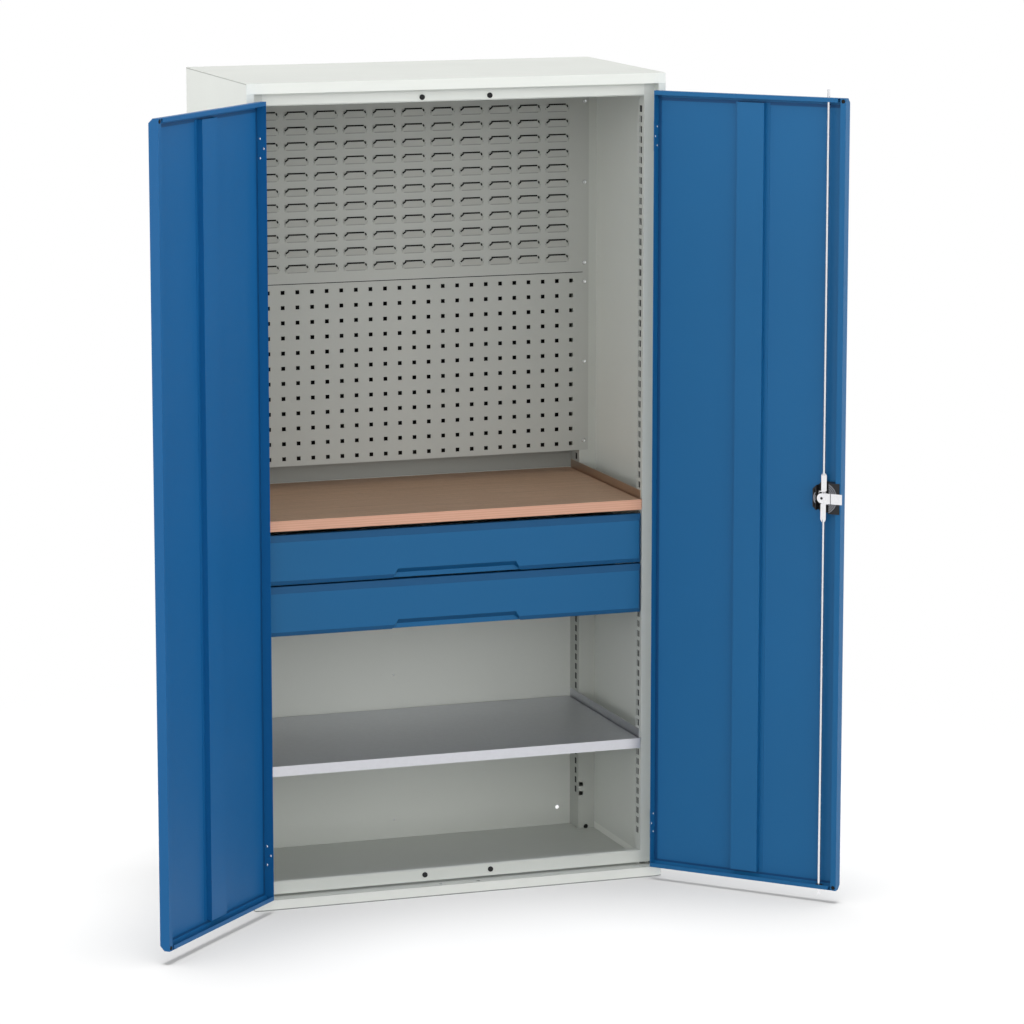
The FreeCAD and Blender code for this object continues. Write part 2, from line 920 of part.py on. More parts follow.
def make_rod(side, reach, eye_depth):
    # A bolt rod: round shank, flattened end and an eye that rides on its crank pin.
    end = door_top + reach if side > 0 else door_low - reach
    eye = (depth_y(eye_depth), depth_y(eye_depth + eye_sheet))
    slip = crank_pin_radius + crank_play
    # The pin's height follows a cosine and the rod keeps a steady rate, so the eye is longer by
    # the widest gap between the two.
    widest = math.asin(2 / math.pi)
    lag = crank_radius * (math.cos(widest) - 1 + widest * 2 / math.pi)
    pin_z = lock_z + side * crank_radius
    near = pin_z - side * (slip + eye_rim)
    far = pin_z + side * (slip + lag + eye_rim)
    mouth = (pin_z - side * slip, pin_z + side * (slip + lag))
    across = (lock_x - side * slip, lock_x + side * (crank_radius + slip))
    rim = (lock_x - side * (slip + eye_rim), lock_x + side * (crank_radius + slip + eye_rim))
    plate = block(rim, eye, (near, far)).cut(block(across, eye, mouth))
    half = rod_flat_width / 2
    flat_end = far + side * rod_flat_length
    flat = [
        (lock_x - half, far),
        (lock_x + half, far),
        (lock_x + half, flat_end - side * rod_flat_taper),
        (lock_x + rod_radius, flat_end),
        (lock_x - rod_radius, flat_end),
        (lock_x - half, flat_end - side * rod_flat_taper),
    ]
    strap = prism(flat, "y", eye[0], eye[1])
    start = flat_end - side * rod_flat_taper
    shank = post_of("z", (lock_x, rod_y), rod_radius, min(start, end), max(start, end))
    return plate.multiFuse([strap, shank]).removeSplitter()


def make_guides():
    # A plain guide block round each rod where it leaves the door.
    blocks = []
    for end, side in ((door_top, -1), (door_low, 1)):
        inside = end + side * door_sheet
        body = block(
            (lock_x - guide_width / 2, lock_x + guide_width / 2),
            (rod_y - guide_depth / 2, rod_y + guide_depth / 2),
            (inside, inside + side * guide_height),
        )
        bore = post_of("z", (lock_x, rod_y), rod_radius + rod_fit, door_low, door_top)
        blocks.append(body.cut(bore))
    return Part.makeCompound(blocks)


def make_rose():
    # A square plate with cut corners round the spindle.
    half = rose_width / 2
    cut = half - rose_corner
    corners = [
        (-half, -cut), (-cut, -half), (cut, -half), (half, -cut),
        (half, cut), (cut, half), (-cut, half), (-half, cut),
    ]
    outline = [(lock_x + x, lock_z + z) for x, z in corners]
    plate = prism(outline, "y", depth_y(-rose_height), depth_y(0))
    hole = post_of(
        "y", (lock_x, lock_z), spindle_radius + spindle_fit, depth_y(-rose_height), depth_y(0)
    )
    return plate.cut(hole)


def make_handle():
    # The turn handle outside, hanging down when locked.
    near = depth_y(-rose_height - running_gap)
    far = near - handle_hub_length
    hub = post_of("y", (lock_x, lock_z), handle_hub_radius, far, near)
    grip = [
        (lock_x - handle_width / 2, lock_z + handle_width / 2),
        (lock_x - handle_tip_width / 2, lock_z - handle_length),
        (lock_x + handle_tip_width / 2, lock_z - handle_length),
        (lock_x + handle_width / 2, lock_z + handle_width / 2),
    ]
    return hub.fuse(prism(grip, "y", far, far + handle_thickness)).removeSplitter()


def opened(shape, side):
    # Turn a shut door, and all that it carries, to the angle of the picture.
    turned = shape.copy()
    angle = right_opening_angle if side > 0 else -left_opening_angle
    turned.rotate(Vector(side * pin_x, pin_y, 0), axes["z"], angle)
    return turned


def both_sides(pieces):
    return Part.makeCompound(pieces + [mirrored(piece) for piece in pieces])


def add_pair(name, shape):
    nodes["right_" + name] = shape
    nodes["left_" + name] = mirrored(shape)


# Carcass.
nodes["top_hood"] = make_hood()
nodes["base_plinth"] = make_plinth()
nodes["floor_panel"] = make_floor()
nodes["back_panel"] = make_back()
nodes["top_rail"] = make_top_rail()
nodes["bottom_rail"] = make_bottom_rail()
nodes["door_buffers"] = make_buffers()
nodes["louvre_panel"] = make_louvre_panel()
nodes["peg_panel"] = make_peg_panel()
nodes["worktop"] = prism(board_outline(0), "z", worktop_low, worktop_top)
nodes["shelf"] = make_shelf()
add_pair("side_panel", make_side())
add_pair("front_post", make_front_post())
add_pair("rear_post", make_rear_post())
add_pair("worktop_bearer", make_bearer(worktop_low, worktop_top))
add_pair("shelf_bearer", make_bearer(shelf_low, shelf_top))
nodes["fixed_hinge_leaves"] = both_sides(make_fixed_leaves())
nodes["hinge_pins"] = both_sides(make_pins())

# Drawers and their runners.
for name, level in (("upper", upper_drawer_low), ("lower", lower_drawer_low)):
    nodes[name + "_drawer_front"] = make_drawer_front(level)
    nodes[name + "_drawer_box"] = make_drawer_box(level)
    nodes[name + "_drawer_slides"] = both_sides([make_slide(level)])
    nodes[name + "_slide_rollers"] = both_sides([make_slide_roller(level)])
    nodes[name + "_runner_rollers"] = both_sides([make_runner_roller(level)])
    add_pair(name + "_runner", make_runner(level))

# Doors, built shut and then turned open.
door = make_door()
stiffener = make_stiffener()
leaves = make_door_leaves()
nodes["right_door_panel"] = opened(door.cut(lock_holes()).removeSplitter(), 1)
nodes["left_door_panel"] = opened(mirrored(door.removeSplitter()), -1)
for name, piece in (("stiffener", stiffener), ("hinge_leaves", leaves)):
    nodes["right_" + name] = opened(piece, 1)
    nodes["left_" + name] = opened(mirrored(piece), -1)

# The lock and its two bolt rods ride on the right door.
nodes["lock_housing"] = opened(make_housing(), 1)
nodes["handle_rose"] = opened(make_rose(), 1)
nodes["rod_guides"] = opened(make_guides(), 1)
nodes["lock_handle"] = opened(make_handle(), 1)
nodes["lock_cam"] = opened(make_cam(), 1)
nodes["lock_tongue"] = opened(make_tongue(), 1)
nodes["upper_rod"] = opened(make_rod(1, upper_rod_reach, upper_eye_depth), 1)
nodes["lower_rod"] = opened(make_rod(-1, lower_rod_reach, lower_eye_depth), 1)

os.makedirs("parts", exist_ok=True)
for name, shape in nodes.items():
    shape.exportStep("parts/" + name + ".step")
print(len(nodes), "nodes")
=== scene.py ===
# %% [markdown]
# # A steel tool cupboard with its doors open
#
# The cupboard's sheet-metal pieces come from the CAD frame and stay exactly where they are. This lesson
# gives every piece its finish (powder coat, zinc, beech and plastic), adds the small fasteners, the dark gaps
# and the fine lines of painted shade at the folds, and sets a plain studio round it with the camera at the
# photograph's viewing angle.

# %% Load the frame
import json
import math

import bmesh
import bpy
from mathutils import Matrix, Vector


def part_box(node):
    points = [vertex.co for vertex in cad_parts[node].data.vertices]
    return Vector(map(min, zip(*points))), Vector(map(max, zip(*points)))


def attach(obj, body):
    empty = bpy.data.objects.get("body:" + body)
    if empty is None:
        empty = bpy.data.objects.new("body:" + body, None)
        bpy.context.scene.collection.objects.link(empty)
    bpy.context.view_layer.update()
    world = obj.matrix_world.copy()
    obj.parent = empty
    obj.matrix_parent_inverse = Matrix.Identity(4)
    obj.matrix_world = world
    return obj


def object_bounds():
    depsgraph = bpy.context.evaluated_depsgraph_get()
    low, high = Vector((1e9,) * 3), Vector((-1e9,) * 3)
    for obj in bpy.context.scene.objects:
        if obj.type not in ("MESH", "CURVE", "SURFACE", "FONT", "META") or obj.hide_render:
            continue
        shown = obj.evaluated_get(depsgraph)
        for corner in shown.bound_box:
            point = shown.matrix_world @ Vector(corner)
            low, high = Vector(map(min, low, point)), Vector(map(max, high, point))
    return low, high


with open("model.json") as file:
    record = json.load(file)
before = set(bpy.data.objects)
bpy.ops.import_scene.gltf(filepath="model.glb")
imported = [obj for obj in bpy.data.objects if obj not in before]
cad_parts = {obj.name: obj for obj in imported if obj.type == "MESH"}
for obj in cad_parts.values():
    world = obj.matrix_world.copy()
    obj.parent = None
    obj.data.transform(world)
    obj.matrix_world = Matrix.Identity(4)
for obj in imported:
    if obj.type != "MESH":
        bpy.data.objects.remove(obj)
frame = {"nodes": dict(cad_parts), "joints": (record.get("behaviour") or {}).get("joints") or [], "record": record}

cad_low, cad_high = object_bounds()
nodes = frame["nodes"]
joints = {joint["name"]: joint for joint in frame["joints"]}
millimetre = 0.001
print(len(nodes), "CAD nodes, box", tuple(cad_low), tuple(cad_high))

# %% [markdown]
# ## Places that the other cells need
#
# Every place is worked out from the boxes of the CAD nodes, so a detail follows the piece that carries it.
# The doors are packed open. A door's lower joint limit is its shut position, so turning a shut door back by
# that limit gives the matrix that carries a detail from the shut door to the open one.

# %% Measure the frame
hood_low, hood_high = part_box("top_hood")
plinth_low, plinth_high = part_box("base_plinth")
back_low, back_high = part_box("back_panel")
peg_low, peg_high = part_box("peg_panel")
louvre_low, louvre_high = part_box("louvre_panel")
worktop_low, worktop_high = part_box("worktop")
rear_post_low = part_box("right_rear_post")[0]
front_post_low, front_post_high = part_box("right_front_post")


def swing(joint_name):
    joint = joints[joint_name]
    pin = Vector(joint["pos_m"])
    turn = Matrix.Rotation(-math.radians(joint["range_deg"][0]), 4, Vector(joint["axis"]))
    return Matrix.Translation(pin) @ turn @ Matrix.Translation(-pin)


def shut_box(node_name, carry):
    # The box of a door's node with that door shut.
    back = carry.inverted()
    points = [back @ vertex.co for vertex in nodes[node_name].data.vertices]
    low = Vector([min(point[axis] for point in points) for axis in range(3)])
    high = Vector([max(point[axis] for point in points) for axis in range(3)])
    return low, high


right_swing = swing("right_door_hinge")
left_swing = swing("left_door_hinge")
# Side 1 is the right door and side -1 the left one, here and in every loop over the sides.
doors = ((1, "right", right_swing), (-1, "left", left_swing))
door_low, door_high = shut_box("right_door_panel", right_swing)
print("shut right door", door_low, door_high)
print("hood", hood_high - hood_low, "worktop top", worktop_high.z)

# %% [markdown]
# ## A short way to write shaders
#
# A material is a graph of nodes, and most of its small nodes are arithmetic. `Wire` wraps one socket, and its
# operators add the Math nodes, so a mask reads like a formula. Every other node comes from `Graph.node`,
# which takes the node's type, its settings and the values or links of its sockets. `Finish` adds the nodes
# that most materials share.


# %% The socket wrapper and the material builder
class Wire:
    def __init__(self, finish, socket):
        self.finish = finish
        self.socket = socket

    def maths(self, operation, first, second):
        return self.finish.node("Math", {"operation": operation}, {0: first, 1: second})

    def __add__(self, other):
        return self.maths("ADD", self, other)

    __radd__ = __add__

    def __sub__(self, other):
        return self.maths("SUBTRACT", self, other)

    def __rsub__(self, other):
        return self.maths("SUBTRACT", other, self)

    def __mul__(self, other):
        return self.maths("MULTIPLY", self, other)

    __rmul__ = __mul__

    def __truediv__(self, other):
        return self.maths("DIVIDE", self, other)

    def __mod__(self, other):
        return self.maths("FLOORED_MODULO", self, other)

    def __lt__(self, other):
        return self.maths("LESS_THAN", self, other)

    def __gt__(self, other):
        return self.maths("GREATER_THAN", self, other)

    def __abs__(self):
        return self.maths("ABSOLUTE", self, 0.0)


class Graph:
    def __init__(self, owner, shader_name):
        owner.use_nodes = True
        self.tree = owner.node_tree
        self.shader = self.tree.nodes[shader_name]

    def join(self, made, sockets):
        for name, value in sockets.items():
            if isinstance(value, Wire):
                self.tree.links.new(value.socket, made.inputs[name])
            else:
                made.inputs[name].default_value = value

    def node(self, kind, settings, sockets, output=0):
        made = self.tree.nodes.new("ShaderNode" + kind)
        for name, value in settings.items():
            setattr(made, name, value)
        self.join(made, sockets)
        return Wire(self, made.outputs[output])

    def axis(self, vector, name):
        return self.node("SeparateXYZ", {}, {"Vector": vector}, name)


class Finish(Graph):
    def __init__(self, name, constants):
        self.material = bpy.data.materials.new(name)
        super().__init__(self.material, "Principled BSDF")
        self.join(self.shader, constants)

    def place(self):
        return self.node("TexCoord", {}, {}, "Object")

    def stretched(self, vector, scale):
        return self.node("Mapping", {}, {"Vector": vector, "Scale": scale})

    def noise(self, vector, scale, detail=2.0):
        return self.node("TexNoise", {}, {"Vector": vector, "Scale": scale, "Detail": detail})

    def sway(self, noise, amount):
        # Noise lies between 0 and 1, so half is taken off to let it swing to both sides.
        return amount * (noise - 0.5)

    def mix(self, factor, first, second):
        # Sockets 6 and 7 and output 2 are the ones for colours.
        settings = {"data_type": "RGBA", "clamp_factor": True}
        return self.node("Mix", settings, {"Factor": factor, 6: first, 7: second}, 2)

    def bump(self, height, distance):
        return self.node("Bump", {}, {"Height": height, "Distance": distance, "Strength": 1.0})

    def between(self, value, low, high):
        return (value > low) * (value < high)

    def over(self, mask, tint):
        # Lays a tint over the base colour that the finish already has.
        paint = Wire(self, self.shader.inputs["Base Color"].links[0].from_socket)
        self.join(self.shader, {"Base Color": self.mix(mask, paint, tint)})


def colour(red, green, blue, share=1.0):
    # A colour as a screen shows it (0 to 255), turned by the sRGB curve to the linear form of shaders.
    linear = []
    for level in (red, green, blue):
        part = level / 255
        linear.append(part / 12.92 if part <= 0.04045 else ((part + 0.055) / 1.055) ** 2.4)
    return (linear[0] * share, linear[1] * share, linear[2] * share, 1.0)


print("shader helpers ready")

# %% [markdown]
# ## Powder coat
#
# The carcass, the doors and the drawer fronts are powder coated: a thick, even paint with a very fine orange
# peel. A flat colour looks like plastic sheet, so the coat gets three quiet layers: slow clouds of thickness,
# patches from handling that change the gloss, and the peel itself as a bump. Light falls on the sides, rails
# and panels differently in the photograph, so each has a shade of its own: lighter and darker copies of one
# coat, which are painted light and shade. The plinth and the right door get such copies too.

# %% Powder coat finishes
coat_shine = 0.3
cloud_scale = 2.5
cloud_contrast = 0.05
handling_scale = 14.0
handling_gloss = 0.10
peel_scale = 420.0
peel_gloss = 0.06
peel_depth = 0.12 * millimetre


def powder_coat(name, red, green, blue, roughness):
    finish = Finish(name, {"Specular IOR Level": coat_shine})
    place = finish.place()
    clouds = finish.noise(place, cloud_scale, detail=3.0)
    handling = finish.noise(place, handling_scale, detail=4.0)
    peel = finish.noise(place, peel_scale)
    thin = colour(red, green, blue, 1 - cloud_contrast)
    thick = colour(red, green, blue, 1 + cloud_contrast)
    gloss = finish.sway(handling, handling_gloss) + finish.sway(peel, peel_gloss)
    surface = {
        "Base Color": finish.mix(clouds, thin, thick),
        "Roughness": roughness + gloss,
        "Normal": finish.bump(peel, peel_depth),
    }
    finish.join(finish.shader, surface)
    return finish


light_grey = powder_coat("light_grey_paint", 212, 215, 209, 0.52)
# The sides take a lighter copy of the coat and the right door a lighter blue: painted light.
side_lit_grey = powder_coat("light_grey_paint_sides_lit", 224, 227, 221, 0.52)
right_door_lit_blue = powder_coat("blue_paint_right_lit", 22, 103, 157, 0.48)
blue = powder_coat("blue_paint", 16, 99, 158, 0.48)
drawer_grey = powder_coat("grey_drawer_paint", 168, 171, 168, 0.5)
# The panels take a darker copy of the coat: painted shade.
panel_shaded_grey = powder_coat("light_grey_paint_panels_shaded", 177, 179, 174, 0.55)
# A darker grey for painted shade on the louvres' bends and at the plinth's foot.
bend_shade_grey = powder_coat("light_grey_paint_bend_shade", 146, 148, 144, 0.55)
# The rail and the plinth take lighter copies of the coat: painted light.
rail_lit_grey = powder_coat("light_grey_paint_rail_lit", 226, 229, 223, 0.5)
plinth_lit_grey = powder_coat("light_grey_paint_plinth_lit", 240, 242, 236, 0.5)
print("powder coats:", light_grey.material.name, blue.material.name, drawer_grey.material.name)

# %% Coats with painted light and shade by the way a face points
straight_ahead = 0.95
half_ahead = 0.5
bevel_shade_share = 0.4
bevel_shade_blue = colour(10, 52, 92)
lip_painted_light = colour(238, 241, 235)


def bevel_shaded_coat(name, red, green, blue, roughness):
    # On the drawer fronts the bevels of the folded sheet are darker: painted shade on every face that does not
    # point straight ahead.
    finish = powder_coat(name, red, green, blue, roughness)
    normal = finish.node("NewGeometry", {}, {}, "True Normal")
    flat_front = finish.axis(normal, "Y") < -straight_ahead
    finish.over(bevel_shade_share * (1 - flat_front), bevel_shade_blue)
    return finish


def hood_coat():
    # The hood's front lip is painted a shade lighter than its top and ends, painted light on the faces that point
    # ahead, and the whole hood is a lighter copy of the coat.
    finish = powder_coat("light_grey_paint_hood_lit", 224, 227, 221, 0.5)
    normal = finish.node("NewGeometry", {}, {}, "True Normal")
    # Painted light: the faces that point ahead are lighter.
    finish.over(finish.axis(normal, "Y") < -half_ahead, lip_painted_light)
    return finish


hood_lit_grey = hood_coat()
# The drawer fronts' coat has painted shade on its bevels.
drawer_blue_bevel_shade = bevel_shaded_coat("blue_paint_drawers_bevel_shade", 18, 99, 150, 0.48)
print("coats by direction:", hood_lit_grey.material.name, drawer_blue_bevel_shade.material.name)

# %% [markdown]
# ## The slotted posts and the back wall
#
# All four posts have a column of slots on the same pitch. On the rear posts only the slots that carry a hook
# are cut in the solid, and the rest of the column is drawn here as dark marks of painted shade. On the front
# posts the marks are painted shade that darkens the rims of the slots that are cut, and the rear posts take a
# darker coat, painted shade too. The back wall is dark where the two panels stand in front of it, because
# next to no light gets behind them.

# %% Post and wall finishes
slot_pitch = 25 * millimetre
slot_height = 16 * millimetre
rear_slot_width = 12 * millimetre
front_slot_width = 15 * millimetre
slot_from_face = 21.5 * millimetre
lowest_slot = 110 * millimetre
slot_shade_black = colour(16, 17, 17)
hole_black = colour(14, 15, 15)
wall_shade = colour(128, 130, 125)
wall_shade_share = 0.8


def slotted_post(name, shade, middle, width, low, high):
    finish = powder_coat(name, shade, shade + 3, shade - 3, 0.52)
    place = finish.place()
    z = finish.axis(place, "Z")
    normal = finish.node("NewGeometry", {}, {}, "Normal")
    facing = abs(finish.axis(normal, "X")) > half_ahead
    step = (z - (lowest_slot - slot_pitch / 2)) % slot_pitch
    tall = abs(step - slot_pitch / 2) < slot_height / 2
    wide = abs(finish.axis(place, "Y") - middle) < width / 2
    column = finish.between(z, low, high)
    # Painted shade: dark marks for the slots that are not cut, and round the rims of the slots that are.
    finish.over(tall * wide * column * facing, slot_shade_black)
    return finish


def back_wall():
    # The wall is plain paint below the worktop. Above it the sheet is in the panels' shade, and what shows
    # through the square holes of the perforated panel is dark.
    finish = powder_coat("light_grey_paint_back", 212, 215, 209, 0.52)
    place = finish.place()
    z = finish.axis(place, "Z")
    inside = finish.axis(place, "Y") < (back_low.y + back_high.y) / 2
    finish.over(wall_shade_share * inside * (z > worktop_high.z), wall_shade)
    finish.over(inside * finish.between(z, peg_low.z, louvre_high.z), hole_black)
    return finish


slot_foot = lowest_slot - slot_height
rear_middle = rear_post_low.y + slot_from_face
front_middle = front_post_low.y + slot_from_face
# The rear posts take a darker copy of the coat, painted shade.
rear_post_shaded_grey = slotted_post(
    "light_grey_paint_rear_posts_shaded", 190, rear_middle, rear_slot_width, slot_foot, peg_low.z
)
front_post_grey = slotted_post(
    "light_grey_paint_front_posts", 212, front_middle, front_slot_width, slot_foot, louvre_high.z
)
back_grey = back_wall()
print("slots on the posts every", slot_pitch, "m")

# %% [markdown]
# ## Beech multiplex
#
# The worktop is a multiplex board. Its top veneer has long fine streaks along the board and short pores, and
# its cut edges show the plies as thin light and dark lines. The normal tells the top from the edges. A
# picture of wood would fit one size of board only, so stretched noise makes the grain and the height makes
# the plies.

# %% Beech finish
ply = 2.8 * millimetre
wood_shine = 0.15
wood_roughness = 0.5
wood_gloss = 0.2
wood_relief = 0.2 * millimetre
wood_scale = 3.0
streak_stretch = (2.2, 38.0, 38.0)
pore_stretch = (14.0, 420.0, 90.0)
fibre_stretch = (5.0, 5.0, 220.0)
stain_scale = 4.0
pore_limit = 0.62
pore_share = 0.35
pore_relief = 0.5
fibre_share = 0.5
stain_share = 0.3
dark_veneer = colour(170, 137, 113)
light_veneer = colour(216, 181, 153)
pore_brown = colour(128, 96, 74)
dark_ply = colour(220, 168, 142)
light_ply = colour(236, 188, 164)
fibre_brown = colour(206, 152, 126)
stain_brown = colour(214, 166, 140)


def beech_board():
    finish = Finish("beech", {"Specular IOR Level": wood_shine})
    place = finish.place()
    streaks = finish.noise(finish.stretched(place, streak_stretch), wood_scale, detail=6.0)
    pores = finish.noise(finish.stretched(place, pore_stretch), wood_scale)
    fibres = finish.noise(finish.stretched(place, fibre_stretch), wood_scale, detail=3.0)
    stains = finish.noise(place, stain_scale, detail=3.0)
    band = abs((finish.axis(place, "Z") / ply) % 2.0 - 1.0)
    normal = finish.node("NewGeometry", {}, {}, "Normal")
    top = abs(finish.axis(normal, "Z")) > half_ahead
    veneer = finish.mix(streaks, dark_veneer, light_veneer)
    veneer = finish.mix(pore_share * (pores > pore_limit), veneer, pore_brown)
    edge = finish.mix(band, dark_ply, light_ply)
    edge = finish.mix(fibre_share * fibres, edge, fibre_brown)
    edge = finish.mix(stain_share * stains, edge, stain_brown)
    surface = {
        "Base Color": finish.mix(top, edge, veneer),
        "Roughness": wood_roughness + finish.sway(streaks, wood_gloss),
        "Normal": finish.bump(streaks + pore_relief * pores, wood_relief),
    }
    finish.join(finish.shader, surface)
    return finish


beech = beech_board()
print("beech worktop", worktop_high - worktop_low)

# %% [markdown]
# ## Zinc and bright steel
#
# The shelf and the runners are galvanised sheet: metal with a satin, slightly cloudy surface. The bolt rods,
# the tongue and the hinge pins are bright zinc plate, smoother and lighter. The two bearers beside the
# worktop take a warmer zinc, a painted reflection of the beech. One even metal would look like chrome, so a
# pattern of small cells shifts the shade from crystal to crystal, and stretched noise makes the scuffs.

# %% Metal finishes
spangle_contrast = 0.02
spangle_gloss = 0.02
scuff_stretch = (3.0, 60.0, 60.0)
scuff_scale = 8.0
scuff_gloss = 0.06
scuff_depth = 0.02 * millimetre


def zinc(name, red, green, blue, roughness, spangle_scale):
    finish = Finish(name, {"Metallic": 1.0})
    place = finish.place()
    spangle = finish.node("TexVoronoi", {}, {"Vector": place, "Scale": spangle_scale}, "Color")
    shade = finish.axis(spangle, "X")
    scuffs = finish.noise(finish.stretched(place, scuff_stretch), scuff_scale, detail=4.0)
    dull = colour(red, green, blue, 1 - spangle_contrast)
    bright = colour(red, green, blue, 1 + spangle_contrast)
    surface = {
        "Base Color": finish.mix(shade, dull, bright),
        "Roughness": roughness + finish.sway(scuffs, scuff_gloss) + finish.sway(shade, spangle_gloss),
        "Normal": finish.bump(scuffs, scuff_depth),
    }
    finish.join(finish.shader, surface)
    return finish


galvanised = zinc("galvanised", 212, 213, 218, 0.45, 110.0)
bright_steel = zinc("bright_steel", 240, 240, 242, 0.26, 240.0)
# The bearers' zinc is painted warmer, a painted reflection of the beech.
zinc_beech_reflection = zinc("galvanised_bearers_beech_reflection", 206, 186, 168, 0.38, 110.0)
print("metals:", galvanised.material.name, bright_steel.material.name, zinc_beech_reflection.material.name)

# %% [markdown]
# ## Plastics and rubber
#
# The lock case, the handle and the rod guides are moulded black plastic with a fine eroded texture, the
# rollers are smooth pale plastic, and the door buffers are soft matt rubber. The ribs of the lock case catch
# the light, so theirs is painted paler, a painted highlight. Two near-black finishes stand for openings that
# no light comes out of, painted shade, and one of them also serves the black plugs. One function makes them
# all, because only the colour, the gloss and the grain differ.

# %% Plastic finishes
grain_gloss = 0.14
wear_scale = 30.0
wear_gloss = 0.1
wear_contrast = 0.1
moulded_shine = 0.45
dead_shine = 0.05
fine_grain = 0.1 * millimetre


def moulded(name, red, green, blue, roughness, grain_scale, grain_depth, shine=moulded_shine):
    finish = Finish(name, {"Specular IOR Level": shine})
    place = finish.place()
    grain = finish.noise(place, grain_scale, detail=3.0)
    wear = finish.noise(place, wear_scale, detail=3.0)
    fresh = colour(red, green, blue, 1 - wear_contrast)
    worn = colour(red, green, blue, 1 + wear_contrast)
    surface = {
        "Base Color": finish.mix(wear, fresh, worn),
        "Roughness": roughness + finish.sway(grain, grain_gloss) + finish.sway(wear, wear_gloss),
        "Normal": finish.bump(grain, grain_depth),
    }
    finish.join(finish.shader, surface)
    return finish


black_plastic = moulded("black_plastic", 24, 25, 27, 0.42, 900.0, 2 * fine_grain)
white_plastic = moulded("white_plastic", 222, 222, 216, 0.35, 500.0, fine_grain / 2)
black_rubber = moulded("black_rubber", 24, 24, 25, 0.7, 700.0, 3 * fine_grain)
# The ribs take a pale plastic, a painted highlight where they catch the light.
rib_highlight_plastic = moulded("black_plastic_ribs_highlight", 150, 152, 158, 0.3, 900.0, fine_grain)
# Near-black for the louvre openings, the panel joint and the tongue's crease is painted shade; the plugs take it
# as their own black.
gap_shade_and_black_plugs = moulded("black_plugs_and_gap_shade", 20, 21, 21, 0.9, 700.0, fine_grain)
# Near-black for the dark strips behind the post slots: painted shade.
shaded_slot = moulded("black_slot_shade", 16, 17, 17, 0.9, 700.0, fine_grain, dead_shine)
print("plastics:", black_plastic.material.name, white_plastic.material.name, black_rubber.material.name)

# %% [markdown]
# ## Dress the CAD nodes
#
# The record names a finish for every node, so one loop dresses them all. Then the posts take the finish with
# the slots drawn in painted shade, the back wall its own, and the pieces that have a lighter or darker copy of
# the coat, painted light and shade, take that; the bearers take zinc with a painted reflection of the beech.

# %% Dress the CAD nodes
finishes = {
    "light_grey_paint": light_grey,
    "blue_paint": blue,
    "grey_drawer_paint": drawer_grey,
    "beech": beech,
    "galvanised": galvanised,
    "bright_steel": bright_steel,
    "black_plastic": black_plastic,
    "white_plastic": white_plastic,
    "black_rubber": black_rubber,
}


def dress(piece, finish):
    piece.data.materials.clear()
    piece.data.materials.append(finish.material)


for subpart in frame["record"]["subparts"]:
    dress(nodes[subpart["node"]], finishes[subpart["material_slot"]])
# The copies dressed below paint light and shade into the coat, and a reflection into the bearers' zinc.
for hand in ("left", "right"):
    dress(nodes[hand + "_rear_post"], rear_post_shaded_grey)
    dress(nodes[hand + "_front_post"], front_post_grey)
for name in ("louvre_panel", "peg_panel"):
    dress(nodes[name], panel_shaded_grey)
dress(nodes["top_hood"], hood_lit_grey)
dress(nodes["top_rail"], rail_lit_grey)
dress(nodes["base_plinth"], plinth_lit_grey)
for name in ("left_side_panel", "right_side_panel"):
    dress(nodes[name], side_lit_grey)
for name in ("right_door_panel", "right_stiffener"):
    dress(nodes[name], right_door_lit_blue)
for name in ("upper_drawer_front", "lower_drawer_front"):
    dress(nodes[name], drawer_blue_bevel_shade)
for name in ("left_worktop_bearer", "right_worktop_bearer"):
    dress(nodes[name], zinc_beech_reflection)
dress(nodes["back_panel"], back_grey)

# %% [markdown]
# ## Small fasteners
#
# Screws and rivets are left out of the solids. Each kind is modelled once from a bmesh shape and then copied
# to its places: a pan head with a round recess for the screws, and a low dome for the rivets and plugs. The
# heads of one kind on one body are one piece, which keeps the list of pieces short.

# %% Fastener heads
head_sides = 18
head_taper = 0.86
rim_round = 0.3
recess_inset = 0.28
recess_depth = 0.6
dome_sides = 16
dome_rings = 10


def screw_head(radius, height):
    head = bmesh.new()
    bmesh.ops.create_cone(
        head,
        cap_ends=True,
        cap_tris=False,
        segments=head_sides,
        radius1=radius,
        radius2=radius * head_taper,
        depth=height,
    )
    bmesh.ops.translate(head, vec=(0, 0, height / 2), verts=head.verts)
    head.faces.ensure_lookup_table()
    top = max(head.faces, key=lambda face: face.calc_center_median().z)
    bmesh.ops.bevel(
        head,
        geom=top.edges[:],
        offset=height * rim_round,
        segments=2,
        profile=0.5,
        affect="EDGES",
        material=-1,
    )
    top = max(head.faces, key=lambda face: (round(face.calc_center_median().z, 6), face.calc_area()))
    bmesh.ops.inset_region(head, faces=[top], thickness=radius * recess_inset)
    bmesh.ops.translate(head, vec=(0, 0, -height * recess_depth), verts=top.verts)
    return head


def rivet_head(radius, height):
    head = bmesh.new()
    bmesh.ops.create_uvsphere(head, u_segments=dome_sides, v_segments=dome_rings, radius=radius)
    whole = head.verts[:] + head.edges[:] + head.faces[:]
    bmesh.ops.bisect_plane(head, geom=whole, plane_co=(0, 0, 0), plane_no=(0, 0, 1), clear_inner=True)
    bmesh.ops.scale(head, vec=(1, 1, height / radius), verts=head.verts)
    bmesh.ops.holes_fill(head, edges=[edge for edge in head.edges if edge.is_boundary], sides=0)
    bmesh.ops.recalc_face_normals(head, faces=head.faces)
    return head


def place_piece(name, shape, body, finish):
    bmesh.ops.recalc_face_normals(shape, faces=shape.faces)
    mesh = bpy.data.meshes.new(name)
    shape.to_mesh(mesh)
    shape.free()
    piece = bpy.data.objects.new(name, mesh)
    bpy.context.scene.collection.objects.link(piece)
    dress(piece, finish)
    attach(piece, body)
    print(name, len(mesh.polygons), "faces on", body)
    return piece


